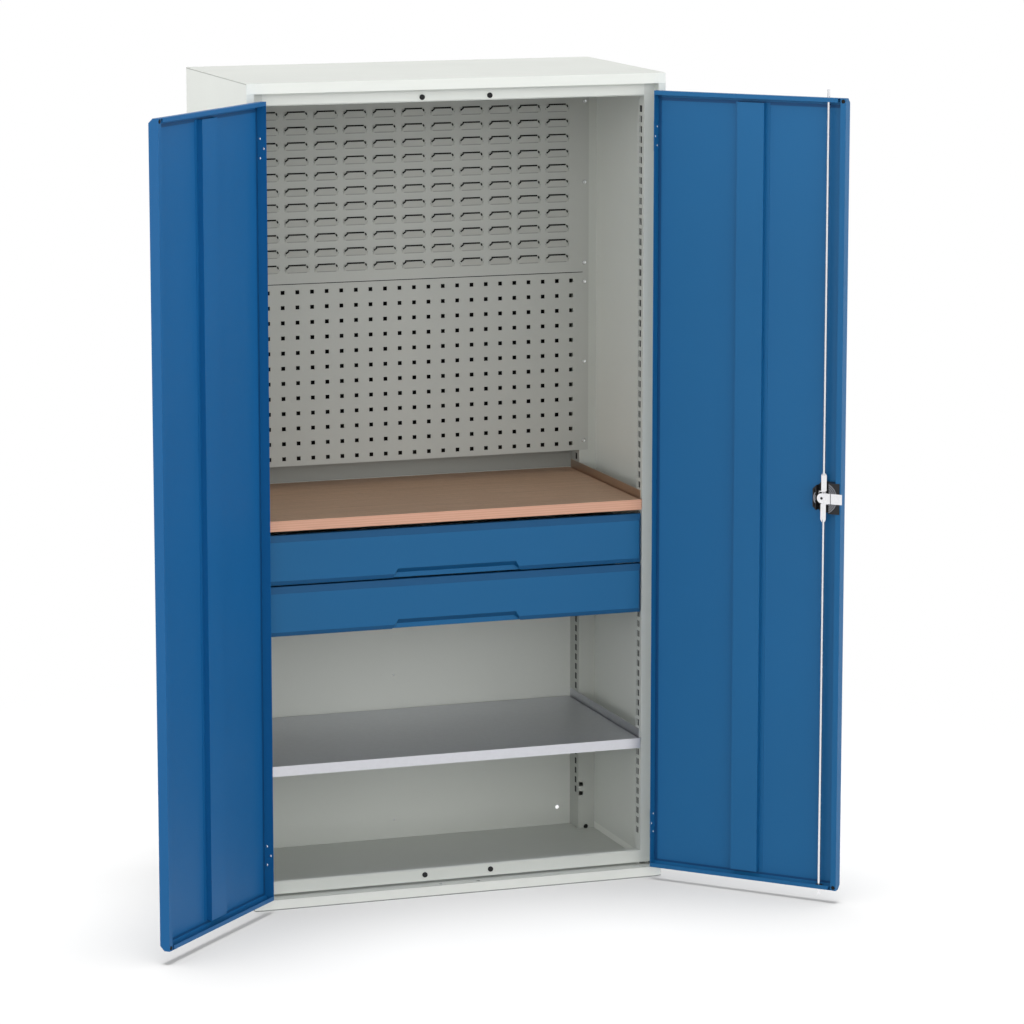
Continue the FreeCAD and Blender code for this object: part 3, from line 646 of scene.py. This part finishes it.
def scatter(name, head, places, body, finish):
    # One piece with a copy of the head at each place.
    pattern = bpy.data.meshes.new(name + "_pattern")
    head.to_mesh(pattern)
    head.free()
    group = bmesh.new()
    for place in places:
        before = len(group.verts)
        group.from_mesh(pattern)
        group.verts.ensure_lookup_table()
        bmesh.ops.transform(group, matrix=place, verts=group.verts[before:])
    bpy.data.meshes.remove(pattern)
    piece = place_piece(name, group, body, finish)
    piece.data.shade_smooth()


print("heads of", head_sides, "and", dome_sides, "sides ready")

# %% Screws of the back panels
facing_front = Matrix.Rotation(math.radians(90), 4, "X")
screw_inset = 33.5 * millimetre
screw_margin = 24.5 * millimetre
screw_radius = 5.5 * millimetre
screw_height = 2.2 * millimetre
panel_face = peg_low.y
screw_places = []
for low, high in ((peg_low.z, peg_high.z), (louvre_low.z, louvre_high.z)):
    for x in (hood_low.x + screw_inset, hood_high.x - screw_inset):
        for z in (low + screw_margin, (low + high) / 2, high - screw_margin):
            screw_places.append(Matrix.Translation((x, panel_face, z)) @ facing_front)
scatter(
    "panel_screws",
    screw_head(screw_radius, screw_height),
    screw_places,
    "carcass",
    bright_steel,
)

# %% Rivets of the door hinges
hinge_low, hinge_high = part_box("fixed_hinge_leaves")
door_sheet = 1.2 * millimetre
leaf_height = 72 * millimetre
rivet_pitch = 23 * millimetre
rivet_stagger = 5 * millimetre
rivet_radius = 3 * millimetre
rivet_height = 1.4 * millimetre
door_middle_y = (door_low.y + door_high.y) / 2
hinge_edge_x = door_high.x - door_sheet
hinge_middles = (hinge_low.z + leaf_height / 2, hinge_high.z - leaf_height / 2)


def hinge_rivets(side, carry):
    # The heads show on the inner face of the door's hinge edge and point to its free edge.
    inward = Matrix.Rotation(math.radians(-90 * side), 4, "Y")
    places = []
    for middle in hinge_middles:
        for step in (-1, 0, 1):
            y = door_middle_y + rivet_stagger * (1 - 2 * abs(step))
            spot = Vector((side * hinge_edge_x, y, middle + step * rivet_pitch))
            places.append(carry @ Matrix.Translation(spot) @ inward)
    return places


for side, name, carry in doors:
    scatter(
        name + "_hinge_rivets",
        rivet_head(rivet_radius, rivet_height),
        hinge_rivets(side, carry),
        name + "_door",
        bright_steel,
    )

# %% Plugs in the free corners of the doors
plug_radius = 5 * millimetre
plug_height = 1.5 * millimetre
corner_inset = 7 * millimetre
facing_back = Matrix.Rotation(math.radians(-90), 4, "X")
for side, name, carry in doors:
    corner_places = []
    for z in (door_low.z + corner_inset, door_high.z - corner_inset):
        spot = Vector((side * (door_low.x + corner_inset), door_high.y, z))
        corner_places.append(carry @ Matrix.Translation(spot) @ facing_back)
    scatter(
        name + "_corner_plugs",
        rivet_head(plug_radius, plug_height),
        corner_places,
        name + "_door",
        gap_shade_and_black_plugs,
    )

# %% Rivets on the back wall
lower_rivet_height = 56 * millimetre
upper_rivet_height = 437 * millimetre
back_rivet_radius = 2.6 * millimetre
back_rivet_rise = 1.2 * millimetre
back_rivets = []
for z in (lower_rivet_height, upper_rivet_height):
    back_rivets.append(Matrix.Translation((0, back_low.y, z)) @ facing_front)
scatter(
    "back_wall_rivets",
    rivet_head(back_rivet_radius, back_rivet_rise),
    back_rivets,
    "carcass",
    bright_steel,
)

# %% Plugs in the hood
hood_plug_inset = 38 * millimetre
hood_plug_front = 124 * millimetre
hood_plug_back = 84 * millimetre
hood_plug_radius = 13 * millimetre
hood_plug_rise = 0.9 * millimetre
hood_plugs = []
for y in (hood_low.y + hood_plug_front, hood_high.y - hood_plug_back):
    hood_plugs.append(Matrix.Translation((hood_high.x - hood_plug_inset, y, hood_high.z)))
scatter(
    "hood_plugs",
    rivet_head(hood_plug_radius, hood_plug_rise),
    hood_plugs,
    "carcass",
    hood_lit_grey,
)

# %% Plugs at the feet of the rear posts
foot_plug_inset = 24.3 * millimetre
foot_plug_height = 13 * millimetre
foot_plug_radius = 6 * millimetre
foot_plug_rise = 0.8 * millimetre
foot_plugs = []
for x in (hood_low.x + foot_plug_inset, hood_high.x - foot_plug_inset):
    foot_plugs.append(Matrix.Translation((x, rear_post_low.y, foot_plug_height)) @ facing_front)
scatter(
    "post_foot_plugs",
    rivet_head(foot_plug_radius, foot_plug_rise),
    foot_plugs,
    "carcass",
    gap_shade_and_black_plugs,
)

# %% [markdown]
# ## Louvre openings and the gap between the panels
#
# Each louvre is cut along its top edge and pressed out, so a dark slit of shade shows above the lip and runs
# a little way down both slanted ends. The slits could be painted on, but thin dark strips of painted shade that
# lie in the openings look right from every side. A paler bar round each louvre's foot is painted shade on its
# bend. The same dark strips mark the joint between the two panels, and stand in for the shade in the front
# posts behind their slots.


# %% A bar between two points
def add_bar(group, start, end, width, height):
    # A thin bar from one point to another, as wide and high as given.
    start = Vector(start)
    end = Vector(end)
    along = end - start
    turn = along.to_track_quat("X", "Z").to_matrix().to_4x4()
    size = Matrix.Diagonal((along.length, width, height, 1.0))
    bmesh.ops.create_cube(group, size=1.0, matrix=Matrix.Translation((start + end) / 2) @ turn @ size)


def add_level_bar(group, middle, reach, width, height):
    # A bar across the cupboard that reaches as far to the left of its middle as to the right.
    across = Vector((reach, 0, 0))
    add_bar(group, Vector(middle) - across, Vector(middle) + across, width, height)


print("bar makers ready")

# %% One louvre's slit and bends, drawn in painted shade
lip_half = 23 * millimetre
lip_wall = 1.5 * millimetre
foot_half = 31 * millimetre
louvre_drop = 16.5 * millimetre
slit_height = 3.4 * millimetre
slit_skin = 0.8 * millimetre
bend_width = 2.6 * millimetre
corner_run = 7 * millimetre
# The slit runs down both slanted ends, further and wider on the left.
left_run = Vector((-6, 4.5, -6)) * millimetre
right_run = Vector((3.5, 3, -5)) * millimetre
left_skin = 3 * slit_skin
right_skin = 2 * slit_skin


def add_slit(group, x, top):
    # Painted shade as dark bars: the slit above the lip, the dark throat behind it, and the two slanted ends.
    slit = (x, panel_face, top + slit_height / 2)
    add_level_bar(group, slit, lip_half, slit_skin, slit_height)
    throat_depth = panel_face - louvre_low.y - lip_wall
    throat = (x, panel_face - throat_depth / 2, top - lip_wall / 2)
    add_level_bar(group, throat, lip_half - lip_wall, throat_depth, slit_skin)
    left_end = Vector((x - lip_half, louvre_low.y, top))
    right_end = Vector((x + lip_half, louvre_low.y, top))
    add_bar(group, left_end, left_end + left_run, left_skin, slit_height)
    add_bar(group, right_end, right_end + right_run, right_skin, slit_height)


def add_bend_shade(group, x, top):
    # Painted shade on the rounded bend where the louvre grows out of the sheet: along its foot, over the corners
    # and up.
    low = top - louvre_drop
    line = [(-foot_half, top - corner_run), (-foot_half, low + corner_run), (-foot_half + corner_run, low)]
    line = line + [(-across, height) for across, height in reversed(line)]
    for (start_x, start_z), (end_x, end_z) in zip(line, line[1:]):
        start = (x + start_x, panel_face, start_z)
        end = (x + end_x, panel_face, end_z)
        add_bar(group, start, end, slit_skin, bend_width)


print("louvre", 2 * lip_half, "m wide at its lip,", louvre_drop, "m high")

# %% Openings of all louvres and the joint of the panels
grid_pitch = 38 * millimetre
louvre_columns = 12
louvre_rows = 11
louvre_margin = 32 * millimetre
louvre_first = louvre_high.z - louvre_margin
joint_inset = 16 * millimetre
openings = bmesh.new()
bends = bmesh.new()
for column in range(louvre_columns):
    for row in range(louvre_rows):
        column_x = (2 * column + 1 - louvre_columns) * grid_pitch
        row_top = louvre_first - row * grid_pitch
        add_slit(openings, column_x, row_top)
        add_bend_shade(bends, column_x, row_top)
joint_left = (peg_low.x + joint_inset, panel_face, peg_high.z)
joint_right = (peg_high.x - joint_inset, panel_face, peg_high.z)
add_bar(openings, joint_left, joint_right, slit_skin, slit_height / 2)
# Grey bars round each louvre's foot: painted shade on its bend.
place_piece("louvre_bend_shade", bends, "carcass", bend_shade_grey)
# Dark strips in the louvre openings and the panel joint: painted shade.
place_piece("louvre_opening_shade", openings, "carcass", gap_shade_and_black_plugs)

# %% Dark strips of painted shade behind the slots of the front posts
# Each lining is a dark strip of painted shade inside the post, where only shade is.
lining_depth = 6.5 * millimetre
lining_end = 40 * millimetre
lining_y = (front_post_low.y + front_post_high.y) / 2
lining_width = front_post_high.y - front_post_low.y - 2 * lip_wall
linings = bmesh.new()
for side in (-1, 1):
    x = side * (front_post_low.x + lining_depth)
    foot = (x, lining_y, front_post_low.z + lining_end)
    head = (x, lining_y, front_post_high.z - lining_end)
    add_bar(linings, foot, head, lining_width, slit_skin)
place_piece("post_slot_shade", linings, "carcass", shaded_slot)

# %% [markdown]
# ## Painted shade in the creases of the doors, along the hood and at the foot of the plinth
#
# A door is a folded tray. Where its sheet meets the folds at the top, the bottom and the hinge edge, the fold
# shades it, so a dark line of painted shade frames the inside. The hood shows a fine line of painted shade
# along both sides, where its top is folded down, and the plinth a painted shadow line along its foot, where its
# sheet is folded under. A bevel on the solids would cost many faces, so slim bars in a darker coat draw these
# lines.

# %% Painted shade in the creases inside the doors
# The darker blue of the creases is painted shade.
crease_shade_blue = powder_coat("blue_paint_crease_shade", 12, 76, 126, 0.5)
crease_skin = 0.5 * millimetre
crease_width = 8 * millimetre
fold_height = 13 * millimetre
sheet_face = door_low.y + door_sheet
for side, name, carry in doors:
    creases = bmesh.new()
    free_end = side * (door_low.x + fold_height)
    hinge_end = side * (hinge_edge_x - crease_width / 2)
    for z in (door_low.z + fold_height, door_high.z - fold_height - crease_width):
        add_bar(creases, (free_end, sheet_face, z), (hinge_end, sheet_face, z), crease_skin, crease_width)
    foot = (hinge_end, sheet_face, door_low.z + fold_height)
    head = (hinge_end, sheet_face, door_high.z - fold_height)
    add_bar(creases, foot, head, crease_skin, crease_width)
    bmesh.ops.transform(creases, matrix=carry, verts=creases.verts)
    place_piece(name + "_door_crease_shade", creases, name + "_door", crease_shade_blue)

# %% Painted shade lines along the hood
shade_line_height = 2.2 * millimetre
shade_line_start = 6 * millimetre
# Thin bars in the panels' darker coat: painted shade along the hood's folded sides.
seams = bmesh.new()
for x in (hood_low.x, hood_high.x):
    start = (x, hood_low.y + shade_line_start, hood_high.z - shade_line_height)
    end = (x, hood_high.y - shade_line_height, hood_high.z - shade_line_height)
    add_bar(seams, start, end, slit_skin, shade_line_height)
place_piece("hood_edge_shade", seams, "carcass", panel_shaded_grey)

# %% Painted shadow line at the foot of the plinth
foot_line_height = 2.5 * millimetre
foot_line_z = foot_line_height / 2
cap_bevel = Vector((20, 3.5)) * millimetre
foot_line = bmesh.new()
for side in (-1, 1):
    back = (side * plinth_high.x, plinth_high.y - slit_skin, foot_line_z)
    corner = (side * plinth_high.x, plinth_low.y + cap_bevel.y, foot_line_z)
    front = (side * (plinth_high.x - cap_bevel.x), plinth_low.y, foot_line_z)
    middle = (0, plinth_low.y, foot_line_z)
    for start, end in ((back, corner), (corner, front), (front, middle)):
        add_bar(foot_line, start, end, slit_skin, foot_line_height)
# A thin bar in the bend shade grey: a painted shadow line at the plinth's foot.
place_piece("plinth_foot_shadow_line", foot_line, "carcass", bend_shade_grey)

# %% [markdown]
# ## The lock case
#
# The moulded case round the lock is stiffened by curved ribs that run round the hub. They are spun from a
# small rectangle, part of a turn each, on the raised blocks at both sides of the bolt rods, and take a paler
# plastic, a painted highlight. The hub has a dark screw in its middle, and a dark bar of painted shade marks
# the crease where the tongue steps down. All of them are too fine to be worth faces in the solid.

# %% Ribs of the lock case
lock_axis = right_swing.inverted() @ Vector(joints["lock_turn"]["pos_m"])
case_face = shut_box("lock_housing", right_swing)[1].y
block_gap = 16.5 * millimetre
rib_width = 2.0 * millimetre
rib_steps = 10
free_rib_count = 5
free_rib_start = 19 * millimetre
free_rib_pitch = 4.5 * millimetre
free_rib_height = 0.25 * millimetre
hinge_rib_count = 2
hinge_rib_start = 17.5 * millimetre
hinge_rib_pitch = 3 * millimetre
hinge_rib_height = 1.2 * millimetre


def add_rib(group, radius, side, height):
    # An arc round the hub, as long as the raised block on that side allows. Side 1 is the hinge side.
    sweep = math.acos(block_gap / radius)
    hub = Vector((lock_axis.x, case_face, lock_axis.z))
    corners = []
    for across, rise in ((0, 0), (rib_width, 0), (rib_width, height), (0, height)):
        arm = Vector((side * (radius + across), rise, 0))
        arm.rotate(Matrix.Rotation(-sweep, 3, "Y"))
        corners.append(group.verts.new(hub + arm))
    profile = group.faces.new(corners)
    bmesh.ops.spin(group, geom=[profile], cent=hub, axis=(0, 1, 0), angle=2 * sweep, steps=rib_steps)


ribs = bmesh.new()
for index in range(free_rib_count):
    add_rib(ribs, free_rib_start + index * free_rib_pitch, -1, free_rib_height)
for index in range(hinge_rib_count):
    add_rib(ribs, hinge_rib_start + index * hinge_rib_pitch, 1, hinge_rib_height)
bmesh.ops.transform(ribs, matrix=right_swing, verts=ribs.verts)
place_piece("lock_case_ribs", ribs, "right_door", rib_highlight_plastic)

# %% Hub screw and the painted shade in the crease of the tongue
tongue_low, tongue_high = shut_box("lock_tongue", right_swing)
tongue_face = tongue_high.y
tongue_step = 23.1 * millimetre
hub_screw_radius = 3.4 * millimetre
hub_screw_height = 1.0 * millimetre
hub_screw = screw_head(hub_screw_radius, hub_screw_height)
hub_place = Matrix.Translation((lock_axis.x, tongue_face, lock_axis.z)) @ facing_back
scatter("lock_hub_screw", hub_screw, [right_swing @ hub_place], "lock", black_plastic)
crease_depth = 2 * slit_skin
crease_round = slit_skin / 5
crease_foot = (lock_axis.x - tongue_step, tongue_face - slit_skin, tongue_low.z)
crease_head = (lock_axis.x - tongue_step, tongue_face - slit_skin, tongue_high.z)
crease = bmesh.new()
add_bar(crease, crease_foot, crease_head, crease_depth, slit_skin)
bmesh.ops.bevel(
    crease,
    geom=crease.edges[:],
    offset=crease_round,
    segments=1,
    profile=0.5,
    affect="EDGES",
    material=-1,
)
bmesh.ops.transform(crease, matrix=right_swing, verts=crease.verts)
# A dark bar in the crease: painted shade.
place_piece("tongue_crease_shade", crease, "lock", gap_shade_and_black_plugs)

# %% [markdown]
# ## The studio
#
# The floor is pale and plain and catches the shadow. A white surround lights everything softly, a faint lamp
# above lifts the top, and a second lamp shines straight down on the floor alone, so that the doors and the
# plinth cast a close shadow. What the camera sees of the surround is white, straight or in a reflection,
# while the light that falls on the cupboard stays at a plain level.


# %% Rays that see the backdrop
def backdrop_rays(graph):
    # 1 for what the camera sees, straight or by a mirror reflection or through glass, and 0 for plain light.
    straight = graph.node("LightPath", {}, {}, "Is Camera Ray")
    mirrored = graph.node("LightPath", {}, {}, "Is Glossy Ray")
    passed = graph.node("LightPath", {}, {}, "Is Transmission Ray")
    return graph.node("Clamp", {}, {0: straight + mirrored + passed})


print("backdrop rays ready")

# %% Floor
floor_half = 14.0
floor_shape = bmesh.new()
bmesh.ops.create_grid(floor_shape, x_segments=1, y_segments=1, size=floor_half)
floor_mesh = bpy.data.meshes.new("studio_floor")
floor_shape.to_mesh(floor_mesh)
floor_shape.free()
floor = bpy.data.objects.new("studio_floor", floor_mesh)
bpy.context.scene.collection.objects.link(floor)
print("floor", 2 * floor_half, "m wide")

# %% Paper of the floor
# Near the cupboard the paper shows its shadow, and further out it turns to the plain white of the surround.
shadow_reach = 1.1
white_reach = 2.3
near_glow = 0.25
plain_white = (1.0, 1.0, 1.0, 1.0)
seen_paper = (0.3, 0.3, 0.3, 1.0)
lighting_paper = colour(172, 172, 172)
floor_finish = Finish("studio_floor_paper", {"Roughness": 0.9, "Specular IOR Level": 0.0})
seen = backdrop_rays(floor_finish)
floor_place = floor_finish.place()
x = floor_finish.axis(floor_place, "X")
y = floor_finish.axis(floor_place, "Y")
fade = {
    "Value": floor_finish.node("Math", {"operation": "SQRT"}, {0: x * x + y * y}),
    "From Min": shadow_reach,
    "From Max": white_reach,
    "To Min": near_glow,
    "To Max": 1.0,
}
white_share = floor_finish.node("MapRange", {"interpolation_type": "SMOOTHSTEP"}, fade)
floor_finish.join(floor_finish.shader, {"Base Color": floor_finish.mix(seen, lighting_paper, seen_paper)})
glow = floor_finish.node("Emission", {}, {"Color": plain_white, "Strength": 1.0})
paper = Wire(floor_finish, floor_finish.shader.outputs[0])
# A reflection of the floor is all white. Straight on, the white gives way to the shadow near the cupboard.
straight = floor_finish.node("LightPath", {}, {}, "Is Camera Ray")
glow_share = seen * (1 - straight * (1 - white_share))
blend = floor_finish.node("MixShader", {}, {0: glow_share, 1: paper, 2: glow})
floor_finish.tree.links.new(blend.socket, floor_finish.tree.nodes["Material Output"].inputs["Surface"])
dress(floor, floor_finish)
print("paper turns white", white_reach, "m out")

# %% World
# The surround is brightest near the horizon, as with tall soft panels all round the set.
horizon_light = 2.4
zenith_light = 0.42
horizon_rise = 0.1
zenith_rise = 0.7
world = bpy.data.worlds.new("studio_surround")
bpy.context.scene.world = world
studio = Graph(world, "Background")
climb = {
    "Value": studio.axis(studio.node("TexCoord", {}, {}, "Generated"), "Z"),
    "From Min": horizon_rise,
    "From Max": zenith_rise,
    "To Min": horizon_light,
    "To Max": zenith_light,
}
panels = studio.node("MapRange", {"interpolation_type": "SMOOTHSTEP"}, climb)
backdrop = backdrop_rays(studio)
studio.join(studio.shader, {"Color": plain_white, "Strength": panels * (1 - backdrop) + backdrop})
bpy.context.scene.view_settings.view_transform = "Standard"
print("surround", horizon_light, "at the horizon,", zenith_light, "overhead")


# %% Lamps
def add_lamp(name, kind, power):
    lamp = bpy.data.lights.new(name, kind)
    lamp.energy = power
    holder = bpy.data.objects.new(name, lamp)
    bpy.context.scene.collection.objects.link(holder)
    return holder


lamp_power = 20.0
lamp_size = 2.0
lamp_rise = Vector((0.0, 0.8, 3.0))
lamp_aim = Vector((0.0, 0.0, cad_high.z))
lamp_place = lamp_aim + lamp_rise
top_lamp = add_lamp("top_lamp", "AREA", lamp_power)
top_lamp.data.shape = "SQUARE"
top_lamp.data.size = lamp_size
top_lamp.location = lamp_place
top_lamp.rotation_euler = (lamp_aim - lamp_place).to_track_quat("-Z", "Y").to_euler()
# A new sun lamp shines straight down. Its wide angle makes the shadow soft.
sky_power = 9.0
sky_angle = math.radians(26)
sky_panel = add_lamp("sky_panel", "SUN", sky_power)
sky_panel.data.angle = sky_angle
sky_panel.data.cycles.max_bounces = 0
lit_floor = bpy.data.collections.new("lit_floor")
lit_floor.objects.link(floor)
sky_panel.light_linking.receiver_collection = lit_floor
print("lamps:", top_lamp.name, "and, for the floor alone,", sky_panel.name)

# %% [markdown]
# ## The camera
#
# The photograph was taken from the left of the front and a little above the top, with a long lens. The camera
# stands far off and is tilted down slightly, so the upright edges stay close to parallel without any shift. A
# shift would push the cupboard out of the frame in other views.

# %% Camera
photo_size = 1024
sensor_width = 36.0
focal_pixels = 4387.1
# Solved from the cupboard's corners: the place is in metres and the angles are in radians.
camera_place = (-3.2969, -10.1858, 2.8240)
camera_turn = 0.3330
camera_tilt = 0.1773
camera_data = bpy.data.cameras.new("photo_camera")
camera_data.sensor_width = sensor_width
camera_data.lens = focal_pixels * sensor_width / photo_size
camera = bpy.data.objects.new("photo_camera", camera_data)
camera.location = camera_place
camera.rotation_euler = (math.pi / 2 - camera_tilt, 0, -camera_turn)
bpy.context.scene.collection.objects.link(camera)
bpy.context.scene.camera = camera
print("lens", camera_data.lens)
